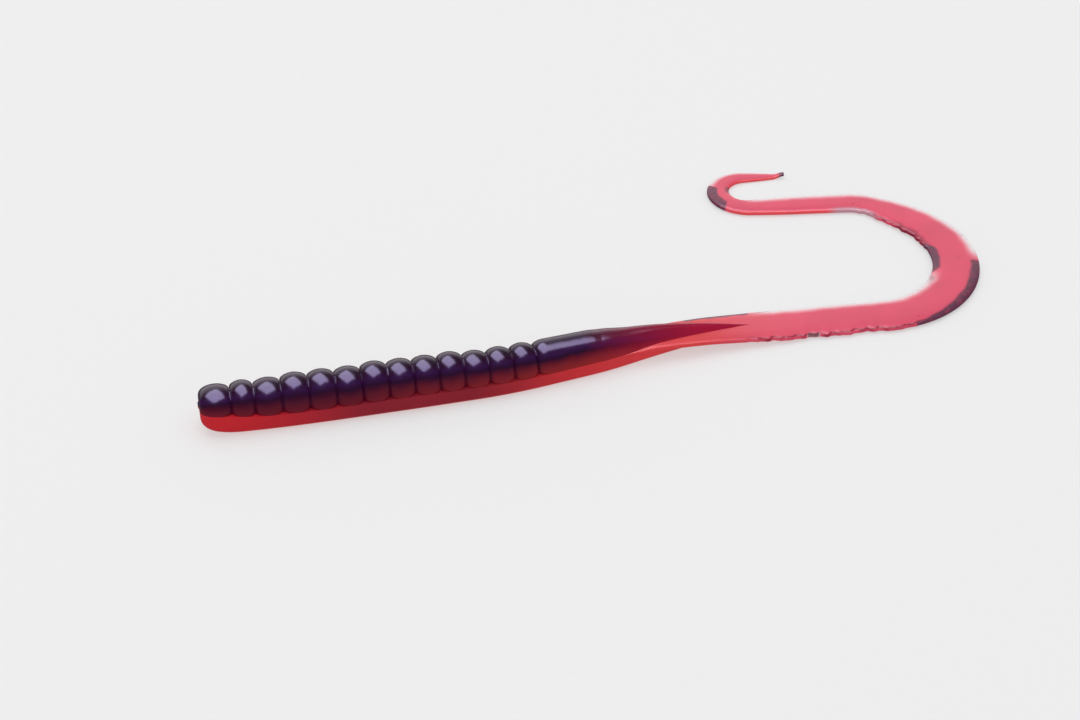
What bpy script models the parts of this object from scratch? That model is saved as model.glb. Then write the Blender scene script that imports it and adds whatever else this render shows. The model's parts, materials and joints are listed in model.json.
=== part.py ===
"""Soft plastic ribbon-tail worm: ribs, smooth shoulder, ridged tail root and a thin ribbon tail.

Frame: metres, +Z up, +X from the nose towards the tail, z = 0 on the surface that the belly lies on.
The origin is under the middle of the fourth rib. The worm lies as it was moulded: the body nearly
straight, and the ribbon turned back through one wide bend into a small hook.

The worm is a two-colour moulding. The back is the dark shot and the belly the clear red one. It bends
where it is thinnest, so it is cut there into segments, which meet on hinge lines. Each pair of end
faces slopes away from its hinge line, so that the joint can turn through its whole range.

Lengths below are in millimetres along the centreline, measured from the nose.
"""

import math

import bmesh
import bpy
from mathutils import Vector

MM = 0.001

# Centreline, seen from above: stretches of (length, turn in degrees, anticlockwise positive).
NOSE_HEADING = -2.5
CENTRELINE = (
    (22.0, 2.5),  # ribbed front of the body
    (16.0, 0.0),
    (10.0, 7.5),
    (14.0, 0.0),  # smooth shoulder
    (22.0, -7.0),  # ridged root
    (12.0, -6.0),  # ribbon, lower run
    (5.0, 2.0),
    (31.0, 124.0),  # the wide bend
    (9.0, 20.0),
    (4.0, 30.0),
    (14.7, 2.0),  # ribbon, upper run
    (14.0, -180.0),  # the hook
    (8.0, -3.0),  # the tip
)

# Segments, as lengths in order from the nose.
HEAD_LENGTH = 4.3
SECOND_RIB_LENGTH = 3.2
RIB_PITCH = (3.8, 3.42)  # third rib, last rib
RIB_COUNT = 13
ORIGIN_AT = 13.2  # under the middle of the fourth rib
NOSE_OFFSET = 0.4  # sideways, from the bow in front of it
SHOULDER_LENGTHS = (7.2, 7.5)
ROOT_LENGTHS = (9.0, 9.1)
RIBBON_LENGTHS = (8.5,) * 6 + (8.0,) * 3 + (6.5, 6.5, 12.4)

# Cross-sections.
CREST_WIDTH = ((0.0, 2.95), (12.0, 3.2), (30.0, 3.2), (47.0, 2.9), (56.0, 2.75), (62.0, 2.25))
BELLY_DEPTH_PER_WIDTH = 1.18  # belly depth below the parting plane, over the half width
GROOVE_DEPTH = 0.57
RIDGE_RADIUS = ((62.0, 2.15), (68.0, 1.65), (73.0, 1.15), (80.1, 0.25))
BLADE_HALF_WIDTH = (
    (62.0, 2.5),
    (67.0, 2.8),
    (75.0, 3.15),
    (84.0, 3.5),
    (128.0, 3.5),
    (134.0, 3.3),
    (142.0, 2.4),
    (155.0, 2.2),
    (160.7, 1.7),
    (167.7, 1.55),
    (172.0, 1.05),
    (180.4, 0.25),
)
BLADE_THICKNESS = ((62.0, 1.2), (140.0, 1.1), (165.0, 1.0), (180.4, 0.6))
KEEL_HALF_WIDTH = ((62.0, 2.2), (70.0, 1.8), (80.1, 0.9))
KEEL_RISE = ((60.0, 0.0), (68.0, 0.35), (75.0, 0.8), (80.1, 1.0))  # of the keel's underside
SHOULDER_END = 57.0  # where the parting plane starts to fall
RIBBON_DOWN = 91.0  # where the ribbon has come down to the surface

# Nose rounding of the back, as (distance from the nose, share of the full section), and of the chin.
NOSE = ((0.0, 0.52), (0.35, 0.74), (1.1, 0.92), (2.3, 1.0))
CHIN = ((0.0, 0.48), (0.4, 0.6), (1.4, 0.75), (4.0, 0.88), (10.0, 1.0))
# Belly outline, as (share of the half width, share of the depth above the underside).
BELLY_OUTLINE = ((1.0, 1.0), (1.0, 0.45), (0.87, 0.16), (0.55, 0.0))
BEAD_STATIONS = ((0.22, 0.25), (0.5, 0.0), (0.78, 0.25))  # along a rib, share of the groove depth
ARC_STEPS = 8  # facets over the back
MOST_TURN = 16.0  # degrees of centreline per facet

# Joints.
GAP = 0.3
SIDE_RANGE = (-15.0, 15.0)
LIFT_RANGE = (-10.0, 20.0)
CURL_RANGE = (-8.0, 8.0)
FLAP_RANGE = (-20.0, 25.0)
FACE_MARGIN = 1.0  # degrees that an end face slopes past half its joint's range

PLASTICS = {
    "grape_plastisol": ((0.030, 0.006, 0.028), 0.18),
    "red_plastisol": ((0.50, 0.025, 0.035), 0.18),
    "pink_ribbon_plastisol": ((0.72, 0.115, 0.19), 0.22),
}


def between(points, at):
    """The value at a place in a table of (place, value), on straight lines between its points."""
    if at <= points[0][0]:
        return points[0][1]
    for (start, low), (end, high) in zip(points, points[1:]):
        if at <= end:
            share = (at - start) / (end - start)
            return low + (high - low) * share
    return points[-1][1]


def centreline(at):
    """(point, heading in radians) on the centreline, in millimetres; it runs on straight past its ends."""
    x, y, heading = -ORIGIN_AT, NOSE_OFFSET, math.radians(NOSE_HEADING)
    left = at
    for length, turn in CENTRELINE:
        run = min(left, length) if left > 0 else left
        bend = math.radians(turn) * run / length if run > 0 else 0.0
        chord = run if abs(bend) < 1e-9 else 2 * run / bend * math.sin(bend / 2)
        x += chord * math.cos(heading + bend / 2)
        y += chord * math.sin(heading + bend / 2)
        heading += bend
        left -= run
        if left <= 0:
            break
    if left > 0:
        x += left * math.cos(heading)
        y += left * math.sin(heading)
    return Vector((x, y, 0.0)), heading


def axes(at):
    """Point, forward and sideways unit vectors of the centreline."""
    point, heading = centreline(at)
    forward = Vector((math.cos(heading), math.sin(heading), 0.0))
    return point, forward, Vector((-forward.y, forward.x, 0.0))


def parting_height(at):
    """Height of the plane where the two shots meet: it falls from the body to the middle of the ribbon."""
    body = BELLY_DEPTH_PER_WIDTH * between(CREST_WIDTH, min(at, SHOULDER_END))
    if at <= SHOULDER_END:
        return body
    blade = between(BLADE_THICKNESS, at) / 2
    share = min((at - SHOULDER_END) / (RIBBON_DOWN - SHOULDER_END), 1.0)
    return blade + (body - blade) * (1 - share * share * (3 - 2 * share))


def back_outline(half_width, height, base):
    """(sideways, up) of a half ellipse standing on the height base, closed by the middle of its flat side."""
    arc = [math.pi * step / ARC_STEPS for step in range(ARC_STEPS + 1)]
    return [(half_width * math.cos(a), base + height * math.sin(a)) for a in arc] + [(0.0, base)]


def belly_outline(half_width, top, bottom, sink):
    """(sideways, up) of the belly: flat underneath, upright at the sides, its top lowered by sink."""
    half = [(side * half_width, bottom + up * (top - bottom)) for side, up in BELLY_OUTLINE]
    half[0] = (half[0][0], top - sink)
    left = [(-side, up) for side, up in half]
    return left + [(0.0, bottom)] + half[::-1] + [(0.0, top - sink)]


def blade_outline(half_width, thickness, middle):
    """(sideways, up) of the ribbon: a flat strip with chamfered edges."""
    half = thickness / 2
    chamfer = min(0.45 * thickness, 0.6 * half_width)
    right = [(half_width - chamfer, half), (half_width, 0.25 * half)]
    right += [(side, -up) for side, up in reversed(right)]
    outline = [(0.0, half)] + right + [(0.0, -half)] + [(-side, up) for side, up in reversed(right)]
    return [(side, middle + up) for side, up in reversed(outline)]


def root_outline(at, _groove):
    """(sideways, up) of the tail root: the blade's flange with the keel under it."""
    plane = parting_height(at)
    width = between(BLADE_HALF_WIDTH, at)
    half = between(BLADE_THICKNESS, at) / 2
    keel = between(KEEL_HALF_WIDTH, at)
    under = between(KEEL_RISE, at)
    foot = plane - half
    right = [(0.75 * keel, under), (keel, under + 0.6 * (foot - under)), (width, foot), (width, plane)]
    right += [(width - half, plane + half)]
    left = [(-side, up) for side, up in reversed(right)]
    return left + [(0.0, under)] + right + [(0.0, plane + half)]


class Hinge:
    """One joint: a hinge line across the centreline, and how the end faces slope away from it."""

    def __init__(self, at, kind, sense):
        """kind is side, lift, curl or flap. A sense of 1 turns the tail left or up, and -1 right or down."""
        self.at = at
        self.kind = kind
        low, high = {
            "side": SIDE_RANGE,
            "lift": LIFT_RANGE,
            "curl": CURL_RANGE,
            "flap": FLAP_RANGE,
        }[kind]
        self.range = (low, high) if sense > 0 else (-high, -low)
        self.height = parting_height(at)
        self.point, self.forward, self.across = axes(at)
        upright = kind in ("side", "curl")
        self.axis = (Vector((0.0, 0.0, 1.0)) if upright else -self.across) * sense
        self.slopes = [math.tan(math.radians(turn / 2 + FACE_MARGIN)) for turn in (-low, high)]

    def setback(self, sideways, up):
        """Distance of an end face from the hinge plane at a point of the cross-section."""
        if self.kind in ("side", "curl"):
            return GAP / 2 + max(self.slopes) * abs(sideways)
        rise = up - self.height
        return GAP / 2 + (self.slopes[1] * rise if rise > 0 else -self.slopes[0] * rise)


def ring(at, outline):
    """World points of a cross-section that stands square on the centreline."""
    point, _, across = axes(at)
    return [(point + across * side + Vector((0, 0, up))) * MM for side, up in outline]


def end_ring(hinge, outline, sense):
    """World points of an end face, set back from the hinge plane; sense is 1 past the hinge, -1 before."""
    return [
        (
            hinge.point
            + hinge.across * side
            + hinge.forward * (sense * hinge.setback(side, up))
            + Vector((0, 0, up))
        )
        * MM
        for side, up in outline
    ]


def plastic(name):
    """The material of one shot of soft plastic."""
    material = bpy.data.materials.get(name)
    if material is None:
        colour, roughness = PLASTICS[name]
        material = bpy.data.materials.new(name)
        material.use_nodes = True
        surface = material.node_tree.nodes["Principled BSDF"]
        surface.inputs["Base Color"].default_value = (*colour, 1.0)
        surface.inputs["Roughness"].default_value = roughness
        surface.inputs["Metallic"].default_value = 0.0
        material.diffuse_color = (*colour, 1.0)
    return material


def loft(name, rings, middles, material, parent):
    """One closed solid through rings of equal length. middles are the two indices that split each cap."""
    mesh = bpy.data.meshes.new(name)
    shape = bmesh.new()
    rows = [[shape.verts.new(point) for point in points] for points in rings]
    count = len(rows[0])
    for row, following in zip(rows, rows[1:]):
        for i in range(count):
            j = (i + 1) % count
            shape.faces.new((row[i], row[j], following[j], following[i]))
    low, high = middles
    for row, turned in ((rows[0], True), (rows[-1], False)):
        for half in (row[low : high + 1], row[high:] + row[: low + 1]):
            shape.faces.new(half[::-1] if turned else half)
    bmesh.ops.recalc_face_normals(shape, faces=shape.faces)
    shape.to_mesh(mesh)
    shape.free()
    mesh.shade_smooth()
    mesh.set_sharp_from_angle(angle=math.radians(40))
    mesh.materials.append(plastic(material))
    segment = bpy.data.objects.new(name, mesh)
    bpy.context.collection.objects.link(segment)
    if parent is not None:
        segment.parent = parent
        segment.matrix_parent_inverse = parent.matrix_world.inverted()
    return segment


def stations(start, end):
    """Places between two hinges where a cross-section is needed: more of them where the centreline turns."""
    turn = math.degrees(abs(centreline(end)[1] - centreline(start)[1]))
    count = 1 + math.ceil(turn / MOST_TURN)
    inner = [start + (end - start) * (step + 1) / (count + 1) for step in range(count)]
    room = min(1.2, 0.3 * (end - start))
    return [at for at in inner if start + room <= at <= end - room]


def rib_rings(start, end, front, rear, outline):
    """Rings of one rib. outline(place, share of the groove depth) gives a cross-section."""
    if front is None:
        rings = [ring(at, outline(at, 0.0)) for at, _ in NOSE]
    else:
        rings = [end_ring(front, outline(start, 1.0), 1)]
    for share, groove in BEAD_STATIONS:
        if front is None and share < 0.6:
            continue
        at = start + (end - start) * share
        rings.append(ring(at, outline(at, groove)))
    rings.append(end_ring(rear, outline(end, 1.0), -1))
    return rings


def rib_back(at, groove):
    """The dark back of a rib, standing on the parting plane."""
    crest = (between(CREST_WIDTH, at) - GROOVE_DEPTH * groove) * between(NOSE, at)
    return back_outline(crest, crest, parting_height(at) + GAP / 2)


def rib_belly(at, _groove):
    """The smooth red belly of a rib: the groove doesn't cut it, and its underside rises to the chin."""
    width = between(CREST_WIDTH, at) * between(NOSE, at)
    top = parting_height(at)
    return belly_outline(width, top, top * (1 - between(CHIN, at)), GAP / 2)


def make_rib(number, start, end, front, rear, parent):
    """The back and the belly of one rib, with a shallow groove at each end of the back."""
    for part, outline, material, middles in (
        ("back", rib_back, "grape_plastisol", (ARC_STEPS // 2, ARC_STEPS + 1)),
        ("belly", rib_belly, "red_plastisol", (4, 9)),
    ):
        rings = rib_rings(start, end, front, rear, outline)
        loft(f"rib_{number:02d}_{part}", rings, middles, material, parent)


def smooth_rings(start, end, front, rear, outline, blunt=0.0):
    """Rings of a smooth piece. blunt lowers the back at its first end, where the last groove is."""
    places = [start + (end - start) * share for share in (0.16, 0.4, 0.75)]
    rings = [end_ring(front, outline(start, blunt), 1)]
    rings += [ring(at, outline(at, 0.0)) for at in places]
    rings.append(end_ring(rear, outline(end, 0.0), -1))
    return rings


def make_shoulder(number, start, end, front, rear, parent):
    """The smooth section behind the ribs."""
    blunt = 1.0 if number == 1 else 0.0
    for part, outline, material, middles in (
        ("back", rib_back, "grape_plastisol", (ARC_STEPS // 2, ARC_STEPS + 1)),
        ("belly", rib_belly, "red_plastisol", (4, 9)),
    ):
        rings = smooth_rings(start, end, front, rear, outline, blunt)
        loft(f"shoulder_{number}_{part}", rings, middles, material, parent)


def ridge_outline(at, _groove):
    """The dark ridge that runs out along the top of the tail root."""
    radius = between(RIDGE_RADIUS, at)
    base = parting_height(at) + between(BLADE_THICKNESS, at) / 2 + GAP
    return back_outline(radius, max(radius - between(BLADE_THICKNESS, at) / 2, 0.12), base)


def make_root(number, start, end, front, rear, parent):
    """The ridge, and the blade's flange with the keel under it."""
    rings = smooth_rings(start, end, front, rear, ridge_outline)
    middles = (ARC_STEPS // 2, ARC_STEPS + 1)
    loft(f"root_{number}_ridge", rings, middles, "grape_plastisol", parent)
    rings = smooth_rings(start, end, front, rear, root_outline)
    loft(f"root_{number}_keel", rings, (5, 11), "red_plastisol", parent)


def ribbon_outline(at):
    """The thin ribbon, which comes down from the root and then lies on its underside."""
    return blade_outline(between(BLADE_HALF_WIDTH, at), between(BLADE_THICKNESS, at), parting_height(at))


def make_ribbon(number, start, end, front, rear, parent):
    """One stretch of the ribbon; the last one ends in the tip."""
    rings = [end_ring(front, ribbon_outline(start), 1)]
    rings += [ring(at, ribbon_outline(at)) for at in stations(start, end)]
    rings.append(ring(end, ribbon_outline(end)) if rear is None else end_ring(rear, ribbon_outline(end), -1))
    name = "ribbon_tip" if rear is None else f"ribbon_{number:02d}"
    loft(name, rings, (4, 9), "pink_ribbon_plastisol", parent)


def segment_list():
    """(maker, number, start, end) of every segment, from the nose to the tip."""
    first, last = RIB_PITCH
    plain = RIB_COUNT - 2
    pitches = [first + (last - first) * step / (plain - 1) for step in range(plain)]
    rows = [(make_rib, length) for length in [HEAD_LENGTH, SECOND_RIB_LENGTH] + pitches]
    rows += [(make_shoulder, length) for length in SHOULDER_LENGTHS]
    rows += [(make_root, length) for length in ROOT_LENGTHS]
    rows += [(make_ribbon, length) for length in RIBBON_LENGTHS]
    found, at, numbers = [], 0.0, {}
    for maker, length in rows:
        numbers[maker] = numbers.get(maker, 0) + 1
        found.append((maker, numbers[maker], at, at + length))
        at += length
    return found


def hinge_list(segments):
    """The hinge after every segment but the last. Body hinges turn sideways and upwards by turns, and so
    do the ribbon's, whose wide flap comes twice as often as its small curl. The sense of the turn changes
    every two hinges of a kind, so that together they make a wave."""
    seen, hinges = {}, []
    for index, (maker, _, _, end) in enumerate(segments[:-1]):
        if maker in (make_rib, make_shoulder):
            kind = "side" if index % 2 == 0 else "lift"
        else:
            kind = "curl" if index % 3 == 2 else "flap"
        seen[kind] = seen.get(kind, 0) + 1
        sense = 1 if (seen[kind] - 1) // 2 % 2 == 0 else -1
        hinges.append(Hinge(end, kind, sense))
    return hinges


def joint_name(hinge, following):
    """A joint is named for the segment behind it and for how it turns."""
    return f"{following}_{hinge.kind}"


def body_name(maker, number, last):
    """The name of the body that carries a segment."""
    if maker is make_ribbon:
        return "ribbon_tip" if last else f"ribbon_{number:02d}"
    if maker is make_rib:
        return f"rib_{number:02d}"
    return ("shoulder" if maker is make_shoulder else "root") + f"_{number}"


def main():
    for leftover in list(bpy.data.objects):
        bpy.data.objects.remove(leftover)
    segments = segment_list()
    hinges = hinge_list(segments)
    pivot = None
    for index, (maker, number, start, end) in enumerate(segments):
        front = hinges[index - 1] if index else None
        rear = hinges[index] if index < len(hinges) else None
        if front is not None:
            name = joint_name(front, body_name(maker, number, rear is None))
            joint = bpy.data.objects.new(f"{name}_axis", None)
            bpy.context.collection.objects.link(joint)
            joint.empty_display_size = 2 * MM
            if pivot is not None:
                joint.parent = pivot
                joint.matrix_parent_inverse = pivot.matrix_world.inverted()
            joint.location = (front.point + Vector((0, 0, front.height))) * MM
            bpy.context.view_layer.update()
            pivot = joint
        maker(number, start, end, front, rear, pivot)


if __name__ == "__main__":
    main()
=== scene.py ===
"""Ribbon-tail worm, moulded in two shots of soft plastic, built round its jointed frame.

Every piece is a cross-section carried along one centreline. The dark grape shot is the back: ribs,
a smooth shoulder and a ridge that runs out over the tail root. The clear red shot is the belly, the
keel and the whole thin ribbon. Each piece reaches from the middle of one body of the frame to the
middle of the next.

Sizes are in millimetres unless a name says otherwise. A place is a distance along the centreline from
the nose.
"""

import json
import math

import bpy
import numpy as np
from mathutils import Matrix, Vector

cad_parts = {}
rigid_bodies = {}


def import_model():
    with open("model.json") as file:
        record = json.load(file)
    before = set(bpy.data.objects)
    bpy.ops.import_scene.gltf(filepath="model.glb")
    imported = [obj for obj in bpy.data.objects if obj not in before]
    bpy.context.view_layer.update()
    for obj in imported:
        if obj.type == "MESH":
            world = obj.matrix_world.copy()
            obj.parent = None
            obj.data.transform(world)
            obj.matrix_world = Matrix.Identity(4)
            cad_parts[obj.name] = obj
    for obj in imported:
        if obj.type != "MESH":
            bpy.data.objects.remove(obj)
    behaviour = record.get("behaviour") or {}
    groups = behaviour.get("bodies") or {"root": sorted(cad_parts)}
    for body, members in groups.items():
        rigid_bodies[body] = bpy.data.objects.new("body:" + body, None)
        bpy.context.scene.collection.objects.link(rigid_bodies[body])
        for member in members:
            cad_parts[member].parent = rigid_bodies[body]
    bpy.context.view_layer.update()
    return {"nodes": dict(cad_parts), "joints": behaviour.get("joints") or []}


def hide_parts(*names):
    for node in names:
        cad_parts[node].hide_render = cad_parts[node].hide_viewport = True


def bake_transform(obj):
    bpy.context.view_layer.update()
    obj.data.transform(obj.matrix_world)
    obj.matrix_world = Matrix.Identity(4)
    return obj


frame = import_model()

bl_info = {
    "name": "Ribbon-tail worm",
    "version": (1, 0, 0),
    "blender": (4, 5, 0),
    "location": "View3D > Sidebar > Worm",
    "description": "Builds a two-colour soft plastic worm round its jointed frame",
    "category": "Add Mesh",
}

MM = 0.001

# Centreline, seen from above: stretches of (length, turn in degrees, anticlockwise positive).
START = (-13.2, 0.4)
START_HEADING = -2.5
CENTRELINE = (
    (22.0, 2.5),
    (16.0, 0.0),
    (10.0, 7.5),
    (14.0, 0.0),
    (22.0, -7.0),
    (12.0, -6.0),
    (5.0, 2.0),
    (31.0, 124.0),
    (9.0, 20.0),
    (4.0, 30.0),
    (14.7, 2.0),
    (14.0, -180.0),
    (8.0, -3.0),
)
TIP_AT = 180.4

# Half widths and heights along the worm, as (place, value).
CREST = ((0.0, 2.95), (12.0, 3.2), (30.0, 3.2), (47.0, 2.9), (56.0, 2.75), (62.0, 2.25))
KEEL = ((62.0, 2.25), (70.0, 1.8), (80.0, 0.9), (86.0, 0.3))
KEEL_RISE = ((60.0, 0.0), (68.0, 0.35), (75.0, 0.8), (80.0, 1.0), (86.0, 1.0))
RIDGE = ((62.0, 2.2), (68.0, 1.75), (73.0, 1.2), (80.0, 0.12))
FLANGE = ((56.0, 1.2), (62.0, 2.4), (67.0, 2.8), (75.0, 3.15), (84.0, 3.5), (128.0, 3.5))
RIBBON = ((134.0, 3.3), (142.0, 2.4), (155.0, 2.2), (160.7, 1.75), (167.7, 1.7), (172.0, 1.45))
TIP = ((176.0, 1.05), (178.8, 0.62), (180.4, 0.22))
PLANE_SHIFT = (
    (0.0, 0.5),
    (3.0, 0.1),
    (8.0, -0.65),
    (14.0, -0.9),
    (45.0, -0.85),
    (57.0, -0.6),
    (74.0, 0.0),
)
BLADE_THICKNESS = ((62.0, 1.2), (140.0, 1.1), (165.0, 1.0), (180.4, 0.5))
SHOULDER_END = 57.0  # the parting plane starts to fall
RIBBON_DOWN = 91.0  # the ribbon has come down to the surface
RIDGE_END = 80.4
RIDGE_FADE = 3.0  # the ridge narrows to nothing over this length
TIP_LIFT = 0.45
EASE = 3.0  # tables are averaged over this length

# Shape of the sections.
PLANE_SHARE = 1.18  # height of the parting plane in half widths
NOSE_SIDES = (0.5, 2.4, 2.3)  # share of the end face, reach and power of the nose's rounding
NOSE_CHIN = (0.36, 6.0, 2.1)  # the same for the depth below the parting plane
FIRST_RIB = 0.4  # place where the first rib starts
LAST_RIB = 3.4  # length of the last rib
JOIN_POWER = 8  # power of the mean that joins two outlines
BELLY_POWER = 4.4
BELLY_POWER_LOST = 2.0  # how far that power falls towards the keel
RIDGE_DROP = 0.24  # share of the crest's height that is lost behind the shoulder
RIDGE_HOLLOW = 2.2  # added to the power of the height there, which hollows the ridge's feet
FOOT_SUNK = 0.05  # how far the ridge's feet stand in the red shot
RIB_UNEVEN = 0.045  # share by which one rib's height differs from the next
THINNEST = (0.02, 0.01)  # least depth of the belly and of the strip

# The nose's end face: rings across it, and the low stub where the gate was cut.
NOSE_RINGS = 7
NOSE_GAP = 0.02  # half the gap between the two shots' middles
NOSE_FINE = 0.4  # rings along the worm stand closer together up to here
GATE_STUB = 0.16
GATE_RADII = (0.35, 0.6)

# Where the marks on the red shot lie, as (from, to, soft end).
CUT_RIGHT, CUT_LEFT = (80, 102, 3), (127, 141, 3)
NOTCH, BURR = (96.6, 97.4, 0.5), (93.0, 94.5, 0.7)
# THIN stretches: edges made partly clear and painted pale, as painted light from the bright ground
# behind.
THIN_LEFT, THIN_HOOK, THIN_RIGHT = (85, 113, 5), (169, 182, 2), (123.5, 158, 3)
CHIP = (88.3, 89.8, 0.35)
BLEED_BEND, BLEED_INNER = (104, 120.6, 0.25), (119.0, 124.0, 3.5)
BLEED_HOOK, BLEED_ROOT = (163.6, 167.6, 0.9), (71.5, 80.5, 1.0)
FLASH_RIGHT, FLASH_LEFT = (81, 106, 3), (130, 139, 2)
SMEAR, CLOUDED, PATCH = (120, 133, 4.0), (140.0, 146.0, 2.5), (166.6, 168.3, 0.9)
RIM_LEFT, RIM_RIGHT = (147, 161, 3), (161, 179, 2)

# Widths of the bands where the grape shot bled.
BEND_BAND, INNER_BAND, HOOK_BAND, ROOT_LINE = 1.45, 1.2, 1.55, 0.8

# Sizes of the patterns. The peened grain and the paper's fibres are drawn coarser than the real ones,
# so that they show at all.
GRAPE_GRAIN, GRAPE_GRAIN_DEPTH = 0.17, 0.009
RED_GRAIN, RED_GRAIN_DEPTH = 0.2, 0.006
SKIN_WAVE, SKIN_WAVE_DEPTH = 1.6, 0.03  # slow unevenness of the cast skin
PIGMENT_CLOUD = 2.2
DYE_CLOUD = 6.0
BLEED_MOTTLE = 0.7
SPECK_SPACING = 3.4
PAPER_FIBRE = 0.9
PLASTISOL_IOR = 1.52

# Numbers of the sockets that several share one name: of a Map Range, and of a Mix of colours.
VALUE, FROM_MIN, FROM_MAX, TO_MIN, TO_MAX = range(5)
FACTOR, FIRST, SECOND, MIXED = 0, 6, 7, 2

# The camera, and where it aims.
CAMERA_HEIGHT_DEG = 36.5
CAMERA_TURN_DEG = -13.4
CAMERA_AIM = (35.3, 2.2, 2.0)
CAMERA_DISTANCE_M = 0.3611
FLOOR_HALF_M = 3.0


def follow(at):
    """x, y and heading of the centreline: each stretch is an arc, added to the last as a chord that
    leaves at half the arc's turn, its length shortened by the sine of that half turn over the half
    turn."""
    at = np.asarray(at, float)
    x = np.full(at.shape, START[0])
    y = np.full(at.shape, START[1])
    heading = np.full(at.shape, math.radians(START_HEADING))
    passed = 0.0
    for length, turn in CENTRELINE:
        run = np.clip(at - passed, 0.0 if passed else None, length)
        bend = math.radians(turn) * np.clip(run, 0.0, None) / length
        chord = run * np.sinc(bend / 2 / math.pi)
        x = x + chord * np.cos(heading + bend / 2)
        y = y + chord * np.sin(heading + bend / 2)
        heading = heading + bend
        passed += length
    return x, y, heading


def place_of(point):
    """The place on the centreline nearest to a point of the frame: the least distance over fine
    steps."""
    at = np.arange(0.0, TIP_AT, 0.005)
    x, y, _ = follow(at)
    return float(at[np.argmin(np.hypot(x - point[0] / MM, y - point[1] / MM))])


HINGES = [place_of(joint["pos_m"]) for joint in frame["joints"]]
CHAIN = [frame["joints"][0]["parent"]] + [joint["child"] for joint in frame["joints"]]
SEAMS = [0.0] + [(a + b) / 2 for a, b in zip(HINGES, HINGES[1:])] + [TIP_AT]
GROOVES = [at for at, name in zip(HINGES, CHAIN) if name.startswith("rib_")]


def step(low, high, value):
    """0 below low, 1 above high, and the cubic 3t^2 - 2t^3 between them."""
    share = np.clip((value - low) / (high - low), 0.0, 1.0)
    return share * share * (3 - 2 * share)


def window(low, high, soft, value):
    """1 between low and high, falling to 0 over a soft distance outside each."""
    return step(low - soft, low, value) * (1 - step(high, high + soft, value))


def eased(at, *tables):
    """Tables of (place, value), read along straight lines and averaged over a short length, which
    rounds their corners."""
    places, values = zip(*[row for table in tables for row in table])
    shifts = np.linspace(-EASE / 2, EASE / 2, 31)
    return np.mean([np.interp(at + shift, places, values) for shift in shifts], axis=0)


def ripple(at, seed, pitch):
    """Smooth unevenness, mostly between -1 and 1: a third of the sum of four sines whose pitches
    aren't multiples of each other."""
    stretches = (1.0, 1.63, 2.71, 0.57)
    draws = np.random.default_rng(seed).uniform(0.0, 2 * math.pi, len(stretches))
    waves = [np.sin(2 * math.pi * at / (pitch * k) + draw) for k, draw in zip(stretches, draws)]
    return sum(waves) / 3.0


def plane_height(at):
    """Height of the parting plane: a little over a half width on the body, easing down to half the
    blade's thickness, with the shift that lets the ribs hang lower than the widest line."""
    body = PLANE_SHARE * np.interp(np.minimum(at, SHOULDER_END), *zip(*CREST))
    blade = np.interp(at, *zip(*BLADE_THICKNESS)) / 2
    return blade + (body - blade) * (1 - step(SHOULDER_END, RIBBON_DOWN, at)) + eased(at, PLANE_SHIFT)


def nose_share(at, blunt, reach, power):
    """Rounding of the nose: a superellipse that rises from the share blunt at the end face to 1 at
    reach."""
    rest = np.clip(1 - at / reach, 0.0, 1.0)
    return blunt + (1 - blunt) * (1 - rest**power) ** (1 / power)


def joined(first, second):
    """Two outlines made one: the eighth root of the sum of their eighth powers, which is the larger
    of the two, rounded where they cross."""
    return (first**JOIN_POWER + second**JOIN_POWER) ** (1 / JOIN_POWER)


def groove_share(at, power):
    """0 on a rib's crest and 1 in a groove. Each rib's profile is half a superellipse of the given
    power."""
    edges = np.array([FIRST_RIB, *GROOVES, GROOVES[-1] + LAST_RIB])
    index = np.clip(np.searchsorted(edges, at) - 1, 0, len(edges) - 2)
    middle = (edges[index] + edges[index + 1]) / 2
    across = np.abs(at - middle) / (edges[index + 1] - edges[index]) * 2
    smooth = (at < (edges[0] + edges[1]) / 2) | (at > (edges[-1] + edges[-2]) / 2)
    across = np.where(smooth, 0.0, np.clip(across, 0.0, 1.0))
    return 1 - (1 - across**power) ** (1 / power)


def flange_top(at, share, sizes):
    """Height of the red shot's top over the parting plane: flat on the body, a rounded strip
    further back."""
    rise = np.interp(at, *zip(*BLADE_THICKNESS)) / 2 * step(SHOULDER_END + 2.0, SHOULDER_END + 9.0, at)
    edge = sizes.edge_power
    return rise * np.clip(1 - np.abs(share) ** edge, 0.0, 1.0) ** (1 / edge)


def half_width(at, side):
    """Half width of the red shot: the body or keel joined to the flange. Where an edge was trimmed it
    wanders by about a quarter of a millimetre, with one notch and one burr on the right."""
    keel = eased(at, CREST, KEEL[1:]) * nose_share(at, *NOSE_SIDES)
    flange = eased(at, FLANGE, RIBBON, TIP) * step(56.0, 60.0, at)
    width = joined(keel, flange)
    cut = np.where(side < 0, window(*CUT_RIGHT, at), window(*CUT_LEFT, at))
    rough = 0.19 * ripple(at, 5, 3.2) + 0.06 * ripple(at, 9, 0.9)
    notch = np.where(side < 0, 0.28 * window(*NOTCH, at) - 0.16 * window(*BURR, at), 0.0)
    return width + cut * rough - notch


def world(at, sideways, up):
    """Points of the frame, in metres, for places along, distances to the left and heights."""
    x, y, heading = follow(at)
    return np.stack(
        [
            (x - sideways * np.sin(heading)) * MM,
            (y + sideways * np.cos(heading)) * MM,
            (up + np.zeros_like(sideways)) * MM,
        ],
        axis=-1,
    )


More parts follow.
